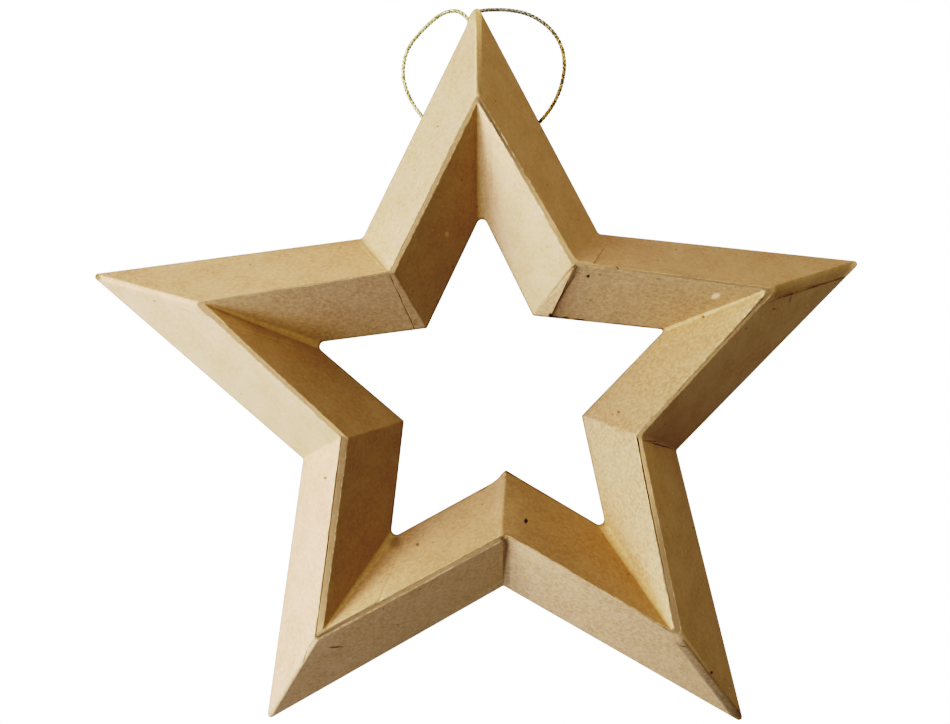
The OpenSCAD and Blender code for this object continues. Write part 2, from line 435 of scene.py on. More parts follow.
# Painted light and shade of the ten faces, as a tone of the card, with numbers spread evenly along each
OUTER_PAINTED_SHADING = [
    [1.01, 1.05, 1.1], [1.04, 1.01, 1.01], [1.03, 0.99, 0.92], [1.12, 1.08, 1.05], [0.8, 0.845, 0.91],
    [0.93, 0.95, 0.99], [1.03, 1.02, 1.01], [1.0, 0.98, 0.96], [0.94, 0.98, 0.99], [0.93, 0.93, 0.94],
]
INNER_PAINTED_SHADING = [
    [1.15, 1.0, 0.935], [0.73, 0.775, 0.845], [0.815, 0.75, 0.69], [0.79, 0.84, 0.95], [0.91, 0.82, 0.785],
    [0.735, 0.755, 0.87], [0.82, 0.81, 0.785], [0.8, 0.835, 0.975], [0.875, 0.757, 0.71], [0.8, 0.76, 0.815],
]
# Dirt and painted shade along the foot of the inner faces
BASE_DIRT_AND_SHADE = [
    [0.2], [0.9, 0.9, 0.5], [0.2], [0.2], [0.2, 0.3, 0.8], [0.7, 0.3, 0.2], [0.2], [0.2], [0.2], [0.3],
]

# Flat land of the ridge on the ten sides, with numbers spread evenly along each, in millimetres from the fold
# ring: first its reach towards the outer wall
LAND_OUT = [
    [0.5, 0.6, 0.6, 0.6, 0.5], [0.5], [1.15, 1.0, 0.7, 0.4, 0.25], [0.4, 0.6, 0.85, 1.1, 1.3],
    [-0.25, -0.55, -0.7, -1.0, -1.2], [0.85, 0.8, 0.8, 0.75], [1.05, 1.0, 0.95, 0.95], [0.4], [0.25],
    [0.6, 0.6, 0.7],
]
# Reach towards the inner wall
LAND_IN = [
    [0.3, 0.35, 0.5, 0.9, 1.2], [0.3], [0.35, 0.4, 0.7, 0.9, 1.1], [1.05, 1.05, 0.9, 0.8, 0.5],
    [0.5, 0.75, 0.95, 1.3, 1.5], [0.5, 0.5, 0.45, 0.4], [0.8, 0.9, 1.0], [1.0], [0.2], [0.65, 0.65, 0.5],
]
# Place of the groove towards the inner wall, half its width, its depth and the dirt and painted shade in it
GROOVE_AT = [
    [-0.1, 0.0, 0.0, 0.2, 0.4], [0.0], [-0.4, -0.2, 0.0, 0.2, 0.4], [0.7, 0.7, 0.5, 0.2, 0.0],
    [0.12, 0.65, 0.82, 1.15, 1.35], [0.3, 0.3, 0.2, 0.0, -0.1], [-0.8, -0.75, -0.7], [0.2], [0.0], [-0.3],
]
GROOVE_HALF = [[0.15], [0.1], [0.2], [0.2, 0.2, 0.15], [0.08], [0.12], [0.13], [0.15], [0.08], [0.15]]
GROOVE_DEPTH = [
    [0, 0, 0.02, 0.04], [0], [0.06, 0.04, 0.0], [0.28, 0.25, 0.12, 0.03, 0.03], [0], [0.03, 0.02, 0.05],
    [0.15, 0.2, 0.1, 0.08], [0], [0], [0.05, 0.02, 0],
]
GROOVE_DIRT_AND_SHADE = [
    [0, 0, 0.1, 0.1], [0], [0.35, 0.15, 0.0], [0.6, 0.6, 0.3, 0.1, 0.15], [0], [0.25, 0.12, 0.3],
    [0.5, 0.6, 0.35, 0.3], [0.1, 0.1, 0], [0], [0.15, 0.1, 0],
]
# Painted shade of the land, as a tone of the card, and the wear and painted highlights of its borders
LAND_PAINTED_SHADE = [
    [0.5, 0.41, 0.64, 0.8, 0.72], [0.67, 0.62, 0.57, 0.57, 0.62], [0.5, 0.6, 0.64, 0.67, 0.63],
    [0.83, 0.84, 0.59, 0.56, 0.55], [0.58, 0.75, 0.84, 0.86, 0.92], [0.54, 0.55, 0.56, 0.53, 0.44],
    [0.85, 0.65, 0.59, 0.53, 0.49], [0.74, 0.72, 0.67, 0.7, 0.64], [0.57, 0.54, 0.62, 0.62, 0.53],
    [0.66, 0.66, 0.66, 0.68, 0.75],
]
LAND_WEAR_AND_HIGHLIGHT = [
    [0, 0.7, 0.8, 0.7, 0.3], [0.2], [0.6, 0.3, 0.2], [0.6, 0.5, 0.3, 0.3], [0.4, 0.8, 0.9, 0.5, 0.3], [0.3],
    [0.5, 0.3, 0.3], [0.3], [0], [0.3],
]
# How softly the outer and the inner face roll into the land
SOFT_OUT = [[0.3], [0.35], [0.3], [0.3], [0.2], [0.35], [0.3], [0.45], [0.35], [0.35]]
SOFT_IN = [[0.3], [0.35], [0.35], [0.35], [0.2], [0.4], [0.3], [0.4], [0.35], [0.3]]
# Share of the laps' height at the base, where they are pressed flat
LAP_AT_BASE = 0.25
LAP_PRESSED = 0.6
# Painted light and shade of the crest facets, as a tone of the card, at the tip and at the fold
FACET_PAINTED_SHADING = {0: (1.4, 0.86), 2: (1.02, 0.95), 4: (0.54, 0.76)}
# Strength of the mottle on the ten faces
OUTER_GRAIN = [0.8, 1.0, 0.7, 0.75, 2.2, 1.6, 1.4, 0.9, 1.5, 1.7]
INNER_GRAIN = [1.2, 2.0, 2.2, 2.4, 1.4, 1.6, 1.0, 1.0, 2.0, 0.9]
# Raggedness of the ridge's folds, and its strength on the ten sides
FOLD_RAG = 0.09
FOLD_RAGS = [(2.6, 1.0, 23), (1.0, 0.7, 24)]
FOLD_RAGGED = [0.8, 0.5, 1.0, 1.0, 1.5, 1.0, 1.0, 1.0, 0.5, 1.0]
# The lifted wedge at the hole's upper right notch: its reach along the hole's edge, how far it follows the
# neighbouring face, what is left of the lift beyond it, the half width of its edge, the length over which
# the lift settles, where its crease starts on the fold, where the lift ends, the most it may be, its painted
# light
WEDGE_AT = 1
WEDGE_REACH = 4.4
WEDGE_FOLLOW = 0.5
WEDGE_LEFT = 0.36
WEDGE_EDGE = 0.1
WEDGE_SETTLE = 5.0
WEDGE_START = 0.4
WEDGE_ENDS = 30.0
WEDGE_MOST = 4.0
WEDGE_PAINTED_LIGHT = 1.05
# The bottom notch: how its corners are drawn aside at the base and at the fold
NOTCH_AT = 5
NOTCH_BASE_PULL = (-1.1, 0.75)
NOTCH_FOLD_PULL = (-1.3, -0.6)
NOTCH_PULL_REACH = 3.0
NOTCH_OUTER_SHARE = 0.75
# Cap of folded card on the top tip: its bulge to the left, where that is, and its size
CAP_BULGE = 0.6
CAP_AT = (-1.6, 8.2)
CAP_SIZE = (1.4, 2.6)

# Third facet along the crests of some tips: reach before and after the corner, and share of the full cut
CREST_FACETS = {0: (0.4, 1.15, 0.9), 2: (0.7, 2.8, 0.55), 4: (0.7, 1.5, 0.6)}
# How steep a facet lies against the wall, and how far under it the inside follows, in card thicknesses
FACET_SLOPE = 0.95
FACET_SKIN = 1.2


def land_row(table, rounding, laps, height=FOLD_H, lift=0.0):
    """A row of points that follows the fold at each side's distances towards the inner wall."""
    middle = np.array([np.mean(numbers) for numbers in table])
    rest = [[m - number for number in numbers] for numbers, m in zip(table, middle)]
    return station(inset(FOLD_RING, middle), rounding, laps, 1, height, lift, rest)


def moved(table, step):
    """A table with a distance, or with each side's own distance, added to its numbers."""
    steps = [step] * CORNERS if isinstance(step, (int, float)) else [s[0] for s in step]
    return [[number + s for number in numbers] for numbers, s in zip(table, steps)]


def wall_grid(ring, skin_ring, side_sign, laps, tip_round, inner_rounding, lift):
    """Rows of points of one wall, from its base up the face, over the land and down behind."""
    face_round = radii(tip_round, NOTCH_R, OUTLINE_SOFT if side_sign < 0 else HOLE_SHARP)
    crest = radii(TIP_R if side_sign < 0 else FOLD_R, NOTCH_R, VALLEY_SOFT if side_sign < 0 else INSIDE_SOFT)
    thin = radii(GROOVE_R, GROOVE_R)
    edge = [[-number for number in numbers] for numbers in LAND_OUT] if side_sign < 0 else LAND_IN
    lips = moved(GROOVE_AT, [[side_sign * half[0]] for half in GROOVE_HALF])
    base, columns = station(ring, face_round, laps, 0, BACK_T, lift * LAP_AT_BASE)
    fold, _ = land_row(edge, crest, laps, FOLD_H, lift)
    lip, _ = land_row(lips, thin, laps)
    valley, columns_in = land_row(GROOVE_AT, thin, laps)
    valley[:, 1] += by_side(columns_in, GROOVE_DEPTH) * (1 + 0.6 * noise(valley, 4.0, 14))
    under, _ = land_row(GROOVE_AT, thin, laps, FOLD_H - GROOVE - WALL_T)
    inside, _ = station(skin_ring, radii(inner_rounding, inner_rounding), laps, 0, BACK_T)
    rows = []
    soft = by_side(columns, SOFT_OUT if side_sign < 0 else SOFT_IN)
    base_bend = rounded(inside, base, fold, BASE_ROUND, 3)
    reach_in = np.minimum(soft, 0.6 * np.linalg.norm(lip - fold, axis=1))
    fold_bend = rounded(base, fold, lip, soft, BEND_PIECES, reach_in)
    lip_bend = rounded(fold, lip, valley, LIP_ROUND, 2)
    rows += base_bend
    face_start = len(rows)
    rows += straight(base_bend[-1], fold_bend[0], FACE_SHARES)
    face_end = len(rows)
    rows += fold_bend
    rows += straight(fold_bend[-1], lip_bend[0], [0.35, 0.7])
    rows += lip_bend
    rows += straight(lip_bend[-1], valley, [0.85])
    land_end = len(rows)
    rows += [valley]
    rows += straight(valley, under, [0.03, 0.5, 1.0])
    rows += straight(under, inside, [0.25, 0.5, 0.75, 1.0])
    return np.array(rows), columns, face_start, face_end, land_end


def crest_place(grid, k):
    """Places of points against the crest of tip k, seen from the front: way up it and distance from it."""
    foot = OUTER_RING[k]
    top = inset(FOLD_RING, -LAND_W / 2)[k]
    length = np.linalg.norm(top - foot)
    up = (top - foot) / length
    after = along(OUTER_RING, k)
    across = unit(after - up * (after @ up))
    rel = grid[..., [0, 2]] - foot
    return rel @ up, rel @ across, length


def cut_crests(grid, land_end):
    """Cuts the third facet of some tips, where the card of one side is folded over the other."""
    for k, (before, after, share) in CREST_FACETS.items():
        way, off, length = crest_place(grid, k)
        slope = WALL_RISE / (FOLD_IN - LAND_W / 2) * FACET_SLOPE
        high = BACK_T + WALL_RISE * way / length
        chord = high - slope * before - (off + before) * slope * (after - before) / (after + before)
        chord[land_end + 2:] -= WALL_T * FACET_SKIN
        height = -grid[..., 1]
        near = (off > -before) & (off < after) & (way > 0) & (way < length + 1.5)
        cut = np.where(near, np.maximum(height - np.maximum(chord, BACK_T), 0), 0)
        cut *= smoothstep(length + 0.4, length - 1.4, way)
        cut[land_end + 4:] = 0
        grid[..., 1] += cut * share


def pull_notch(grid, weights):
    """Draws aside the corner of the hole at the bottom notch and the fold above it, as they are hand-made."""
    high = np.clip((-grid[..., 1] - BACK_T) / WALL_RISE, 0, 1)[..., None]
    centre = HOLE_RING[NOTCH_AT] * (1 - high) + FOLD_RING[NOTCH_AT] * high
    shift = np.array(NOTCH_BASE_PULL) * (1 - high) + np.array(NOTCH_FOLD_PULL) * high
    off = np.linalg.norm(grid[..., [0, 2]] - centre, axis=-1)
    share = np.exp(-(off / NOTCH_PULL_REACH) ** 2) * weights[:, None]
    grid[..., [0, 2]] += shift * share[..., None]


def wedge_lift(grid):
    """Where the wedge beside the hole's upper right notch lies, and by how much the card is lifted there."""
    k = WEDGE_AT
    corner = HOLE_RING[k]
    before = along(HOLE_RING, k - 1)
    after = along(HOLE_RING, k)
    fold = inset(FOLD_RING, LAND_IN[k][0])[k] + after * WEDGE_START
    end = corner + after * WEDGE_REACH
    rel = grid[..., [0, 2]] - corner
    slope = WALL_RISE / (FRAME_W - FOLD_IN - LAND_W / 2)
    rise = slope * (rel @ outward(before) - rel @ outward(after))
    crease = outward(unit(end - fold))
    first = outward(unit(corner - fold))
    turn = math.copysign(1, (end - corner) @ crease)
    past_first = (grid[..., [0, 2]] - fold) @ first * turn
    past_crease = (grid[..., [0, 2]] - fold) @ crease * turn
    reach = np.linalg.norm(rel, axis=-1)
    near = (past_first > 0) & (reach < WEDGE_ENDS)
    inside = near * smoothstep(WEDGE_EDGE, -WEDGE_EDGE, past_crease)
    inside = inside * smoothstep(0.0, WEDGE_START, past_first)
    down = (grid[..., [0, 2]] - fold) @ unit(end - fold) / np.linalg.norm(end - fold)
    at_crease = slope * ((end - corner) @ outward(before)) * np.clip(down, 0, 1)
    beyond = at_crease * WEDGE_LEFT * np.exp(-np.maximum(past_crease, 0) / WEDGE_SETTLE)
    settling = beyond * smoothstep(0.0, 2 * WEDGE_EDGE, past_crease)
    settling = settling + at_crease * WEDGE_FOLLOW * smoothstep(2 * WEDGE_EDGE, 0.0, past_crease)
    lift = np.where(past_crease < 0, rise * WEDGE_FOLLOW, settling)
    return inside, np.where(near, np.clip(lift, 0, WEDGE_MOST), 0)


def make_wall(name, node, ring, skin_ring, side_sign, laps, tip_round, lift):
    grid, columns, face_start, face_end, land_end = wall_grid(
        ring, skin_ring, side_sign, laps, tip_round, INSIDE_R, lift * LAP_PRESSED)
    count, size = grid.shape[:2]
    shares = np.zeros(count)
    shares[face_start:face_end] = FACE_SHARES
    shares[face_end:land_end + 1] = 1.0
    # Ragged cut edges of the laps
    edge_dir = np.column_stack([columns.along[:, 0], np.zeros(size), columns.along[:, 1]])
    for i in range(land_end):
        grid[i] += edge_dir * (columns.wobble * layered(grid[i], LAP_RAGS) * LAP_RAG)[:, None]
    out_dir = np.column_stack([columns.out[:, 0], np.zeros(size), columns.out[:, 1]])
    rag = layered(grid[face_end], FOLD_RAGS) * np.array(FOLD_RAGGED)[columns.side]
    for i in range(face_end - 3, land_end - 2):
        weight = min(1.0, (i - face_end + 4) / 4)
        grid[i] += out_dir * (rag * FOLD_RAG * weight)[:, None]
    pull = np.ones(count)
    if side_sign < 0:
        pull = smoothstep(0.75, 1.0, shares) * (np.arange(count) < land_end + 4) * NOTCH_OUTER_SHARE
    pull_notch(grid, pull)
    wedge = np.zeros((count, size))
    if side_sign < 0:
        cut_crests(grid, land_end)
        rel = (grid[..., [0, 2]] - CAP_AT) / CAP_SIZE
        bulge = np.exp(-(rel ** 2).sum(axis=-1)) * (grid[..., 0] < 0.5)
        grid[..., 0] -= CAP_BULGE * bulge
    else:
        wedge, lift_by = wedge_lift(grid)
        lift_by[land_end:] = 0
        grid[..., 1] -= lift_by
    # Bow and waves of the faces, none where the wall stands on the panel
    normals = point_normals(grid)
    free = np.zeros(count)
    free[:land_end] = smoothstep(0.0, 0.12, shares[:land_end])
    free[land_end:land_end + 3] = (1.0, 1.0, 0.5)
    fade = np.sin(np.pi * np.clip(shares, 0, 1))
    flat = grid.reshape(-1, 3)
    wave = layered(flat, WAVES).reshape(count, size)
    bow = noise(flat * [1, 0, 1], BOW_SIZE, 31).reshape(count, size) * 0.6 - 0.4
    offset = free[:, None] * wave + fade[:, None] * bow * BOW
    facing = np.sign((normals[count // 4] * [0, -1, 0]).sum())
    way_out = normals * facing
    way_out[face_end + BEND_PIECES:land_end + 3] = (0, -1, 0)
    grid = grid + way_out * offset[:, :, None]
    marks = wall_marks(grid, columns, face_start, face_end, land_end, side_sign)
    # The tone attribute paints light and shade on the faces, lands and facets, and painted light on the
    # lifted wedge
    marks["tone"] = painted_shading_tone(grid, columns, side_sign, face_end, land_end) * (1 + (WEDGE_PAINTED_LIGHT - 1) * wedge)
    grain = np.array(OUTER_GRAIN if side_sign < 0 else INNER_GRAIN)[columns.side]
    marks["grain"] = np.tile(grain, (count, 1))
    piece = grid_mesh(name, grid, marks)
    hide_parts(node)
    return piece


def land_share(row, face_end):
    """How much of the land's own look a row has: none on the face, all past the fold."""
    return min(1.0, (row - face_end) / BEND_PIECES)


def painted_shading_tone(grid, columns, side_sign, face_end, land_end):
    """Painted light and shade at each point, as a tone of the card, from the tables for the faces, the lands
    and the crest facets.
    """
    tone = np.tile(by_side(columns, OUTER_PAINTED_SHADING if side_sign < 0 else INNER_PAINTED_SHADING), (len(grid), 1))
    land = by_side(columns, LAND_PAINTED_SHADE)
    for i in range(face_end, land_end + 2):
        share = land_share(i, face_end)
        tone[i] = tone[i] * (1 - share) + land * share
    if side_sign < 0:
        for k, (before, after, _) in CREST_FACETS.items():
            way, off, length = crest_place(grid, k)
            inside = smoothstep(-before - 0.1, -before + 0.15, off)
            inside = inside * smoothstep(after + 0.1, after - 0.15, off)
            inside = inside * smoothstep(-1.5, -0.5, way) * smoothstep(length + 1.0, length - 0.3, way)
            at_tip, at_fold = FACET_PAINTED_SHADING[k]
            own = at_tip + (at_fold - at_tip) * np.clip(way / length, 0, 1)
            tone *= 1 + (own - 1) * inside
    return tone


def wall_marks(grid, columns, face_start, face_end, land_end, side_sign):
    """Dirt with painted shade, and pale wear with painted highlights, from 0 to 1, at each point of a wall.
    """
    count, size = grid.shape[:2]
    flat = grid.reshape(-1, 3)
    broken = (0.5 + 0.5 * noise(flat, 2.2, 41)).reshape(count, size)
    fine = (0.5 + 0.5 * noise(flat, 0.8, 42)).reshape(count, size)
    dirt = np.zeros((count, size))
    pale = np.zeros((count, size))
    seam = np.exp(-((columns.edge - 0.12) / 0.12) ** 2)
    top = np.exp(-((columns.edge + 0.1) / 0.15) ** 2)
    groove = by_side(columns, GROOVE_DIRT_AND_SHADE)
    worn = by_side(columns, LAND_WEAR_AND_HIGHLIGHT)
    # Along the laps' cut edges: dirt and painted shadow beside each step, and a faint pale line on the lap
    for i in range(face_start, land_end):
        fade = 1.0 if i < face_end else 0.35
        dirt[i] = np.maximum(dirt[i], seam * columns.dirt * (0.5 + broken[i]) * fade)
        pale[i] = np.maximum(pale[i], top * 0.12 * fine[i])
    # Dirt and painted shade in the groove
    for i in range(land_end - 1, land_end + 2):
        dirt[i] = np.maximum(dirt[i], groove * (0.5 + broken[i]))
    # Wear and painted highlights on the rounded fold at the land's border
    for i in range(face_end + 1, face_end + BEND_PIECES):
        pale[i] = np.maximum(pale[i], worn * smoothstep(0.35, 0.85, fine[i]))
    # Dirt and painted shade along the foot of every wall
    for i in range(face_start + 1):
        dirt[i] = np.maximum(dirt[i], 0.2 + 0.25 * broken[i])
    if side_sign < 0:
        mark_crests(grid, dirt, pale, broken, fine, face_start, land_end)
    else:
        # More dirt and painted shade along the foot of the inner faces
        foot = by_side(columns, BASE_DIRT_AND_SHADE)
        for i in range(face_start + 2):
            dirt[i] = np.maximum(dirt[i], foot * smoothstep(0.2, 0.8, broken[i]))
    return {"dirt": np.clip(dirt, 0, 1), "pale": np.clip(pale, 0, 1)}


def mark_crests(grid, dirt, pale, broken, fine, face_start, land_end):
    """Borders of the crest facets: thin painted highlights and broken painted shadow lines."""
    for k, off_at, width, dark, light in CREST_LINES:
        way, off, length = crest_place(grid, k)
        line = np.exp(-((off - off_at) / width) ** 2) * smoothstep(0.5, 2.0, way)
        line = line * smoothstep(length + 1, length - 1, way)
        line[:face_start] = 0
        line[land_end:] = 0
        dirt[:] = np.maximum(dirt, line * dark * (0.4 + 0.6 * broken))
        pale[:] = np.maximum(pale, line * light * (0.5 + 0.5 * fine))


# Back panel

# Roundings of the panel's edges at the walls and at the back, its waves and how deep they sink it
PANEL_SEAM_ROUND = 0.08
PANEL_BACK_ROUND = 0.3
PANEL_WAVES = [(20.0, 0.12, 51), (6.0, 0.04, 52)]
PANEL_SINK = 0.12


def make_panel():
    outline = radii(TIP_R, NOTCH_R, OUTLINE_SOFT)
    opening = radii(HOLE_TIP_R, NOTCH_R, HOLE_SHARP)
    outer, outer_back = (station(OUTER_RING, outline, [], 0, height)[0] for height in (BACK_T, 0))
    hole, hole_back = (station(HOLE_RING, opening, [], 0, height)[0] for height in (BACK_T, 0))
    front_bend = rounded(hole, outer, outer_back, PANEL_SEAM_ROUND, 1)
    out_bend = rounded(outer, outer_back, hole_back, PANEL_BACK_ROUND, 3)
    in_bend = rounded(outer_back, hole_back, hole, PANEL_BACK_ROUND, 3)
    last_bend = rounded(hole_back, hole, outer, PANEL_SEAM_ROUND, 1)
    rows = front_bend + straight(front_bend[-1], out_bend[0], [0.5]) + out_bend
    start = len(rows)
    shares = np.linspace(0.03, 0.97, 26)
    rows += straight(out_bend[-1], in_bend[0], shares)
    end = len(rows)
    rows += in_bend + straight(in_bend[-1], last_bend[0], [0.5]) + last_bend
    rows += straight(last_bend[-1], front_bend[0], [0.33, 0.67])
    grid = np.array(rows)
    pull_notch(grid, np.ones(len(grid)))
    flat = grid.reshape(-1, 3)
    count, size = grid.shape[:2]
    wave = layered(flat, PANEL_WAVES).reshape(count, size)
    free = np.zeros(count)
    free[start:end] = smoothstep(0.0, 0.1, shares) * (1 - smoothstep(0.9, 1.0, shares))
    calm = smoothstep(1.5, 5.0, np.hypot(grid[:, :, 0], grid[:, :, 2]))
    grid[:, :, 1] += free[:, None] * (wave - PANEL_SINK) * calm
    broken = (0.5 + 0.5 * noise(flat, 2.4, 53)).reshape(count, size)
    # Dirt and painted shade on the panel's edges, the most along the hole
    dirt = np.zeros((count, size))
    dirt[: start] = 0.2 + 0.3 * broken[: start]
    dirt[end:] = 0.35 + 0.4 * broken[end:]
    pale = np.zeros((count, size))
    plain = np.ones((count, size))
    piece = grid_mesh("back_card", grid, {"dirt": dirt, "pale": pale, "tone": plain, "grain": plain})
    drill(piece, CORD_HOLE_D / 2)
    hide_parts("back_panel")
    return piece


DRILL_SIDES = 40
DRILL_DEPTH = 6.0


def drill(piece, radius):
    """Cuts the cord hole through the panel."""
    bpy.ops.mesh.primitive_cylinder_add(
        vertices=DRILL_SIDES, radius=radius * MM, depth=DRILL_DEPTH * MM, location=(0, 0, 0))
    cutter = bpy.context.object
    cutter.rotation_euler = (math.pi / 2, 0, 0)
    bpy.context.view_layer.update()
    cut = piece.modifiers.new("hole", "BOOLEAN")
    cut.operation = "DIFFERENCE"
    cut.solver = "EXACT"
    cut.object = cutter
    bpy.context.view_layer.objects.active = piece
    bpy.ops.object.modifier_apply(modifier=cut.name)
    bpy.data.objects.remove(cutter, do_unlink=True)


# Gold cord: pieces between two points of its route, distance between its rings, rings to each point of its
# path, and its three threads
CORD_STEPS = 24
CORD_RINGS = 0.16
PLIES = 3
PLY_R = 0.272
PLY_OFF = 0.215
CORD_PITCH = 3.3
PLY_SIDES = 9


def smooth_line(points, pieces):
    p = np.array(points, float)
    out = []
    end = len(p) - 1
    for i in range(end):
        a, b, c, d = p[max(i - 1, 0)], p[i], p[i + 1], p[min(i + 2, end)]
        for t in np.arange(pieces) / pieces:
            square = (2 * a - 5 * b + 4 * c - d) * t ** 2
            cube = (3 * b - a - 3 * c + d) * t ** 3
            out.append(0.5 * (2 * b + (c - a) * t + square + cube))
    out.append(p[-1])
    return np.array(out)


def line_frames(line):
    """Tangents and two sideways directions that turn as little as they can."""
    tangents = rows_unit(np.gradient(line, axis=0))
    side = np.array([1.0, 0.0, 0.0])
    sides = []
    for t in tangents:
        side = unit(side - t * (t @ side))
        sides.append(side)
    sides = np.array(sides)
    return tangents, sides, np.cross(tangents, sides)


def tube(centres, sides, ups, radius, count):
    """Points and faces of a closed tube round the centres."""
    angles = np.arange(count) * 2 * math.pi / count
    rings = centres[:, None] + radius * (
        sides[:, None] * np.cos(angles)[None, :, None] + ups[:, None] * np.sin(angles)[None, :, None])
    faces = []
    for i in range(len(centres) - 1):
        for j in range(count):
            a = i * count + j
            b = i * count + (j + 1) % count
            faces.append((a, b, b + count, a + count))
    faces.append(tuple(range(count - 1, -1, -1)))
    faces.append(tuple(range((len(centres) - 1) * count, len(centres) * count)))
    return rings.reshape(-1, 3), faces


def make_cord():
    line = smooth_line(CORD_ROUTE, CORD_STEPS)
    lengths = running(np.linalg.norm(np.diff(line, axis=0), axis=1))
    even = np.arange(0, lengths[-1], CORD_RINGS)
    line = np.column_stack([np.interp(even, lengths, line[:, i]) for i in range(3)])
    tangents, sides, ups = line_frames(line)
    points = []
    faces = []
    ply_mark = []
    for ply in range(PLIES):
        turn = 2 * math.pi * (even / CORD_PITCH + ply / PLIES)
        out = sides * np.cos(turn)[:, None] + ups * np.sin(turn)[:, None]
        centres = line + out * PLY_OFF
        p, f = tube(centres, out, np.cross(tangents, out), PLY_R, PLY_SIDES)
        base = len(points) * len(p) if points else 0
        faces += [tuple(base + i for i in face) for face in f]
        points.append(p)
        ply_mark.append(np.repeat(even, PLY_SIDES))
    mesh = bpy.data.meshes.new("gold_cord")
    mesh.from_pydata((np.concatenate(points) * MM).tolist(), [], faces)
    mesh.polygons.foreach_set("use_smooth", np.ones(len(mesh.polygons), bool))
    mesh.attributes.new("run", "FLOAT", "POINT").data.foreach_set("value", np.concatenate(ply_mark))
    cord = bpy.data.objects.new("gold_cord", mesh)
    bpy.context.collection.objects.link(cord)
    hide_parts("hanging_cord")
    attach(cord, "root")
    return cord


cord = make_cord()

outer_skin = inset(OUTER_RING, WALL_T / math.sin(OUTER_SLOPE))
outer = make_wall("outer_card", "outer_wall", OUTER_RING, outer_skin, -1, OUTER_LAPS, TIP_R,
                  LAP_T / math.sin(OUTER_SLOPE))
inner_skin = inset(HOLE_RING, -WALL_T / math.sin(INNER_SLOPE))
inner = make_wall("inner_card", "inner_wall", HOLE_RING, inner_skin, 1, INNER_LAPS, HOLE_TIP_R,
                  -LAP_T / math.sin(INNER_SLOPE))
panel = make_panel()
for piece, slot in ((outer, "kraft_outer"), (inner, "kraft_inner"), (panel, "kraft_panel")):
    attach(piece, "root")


# Materials

# How ragged the edges of the single marks are, in metres, and how fine
RAG = 0.0004
RAG_SCALE = 1500.0
# Half depth of the marks, in metres, which takes them through the whole star
SPOT_DEPTH = 10


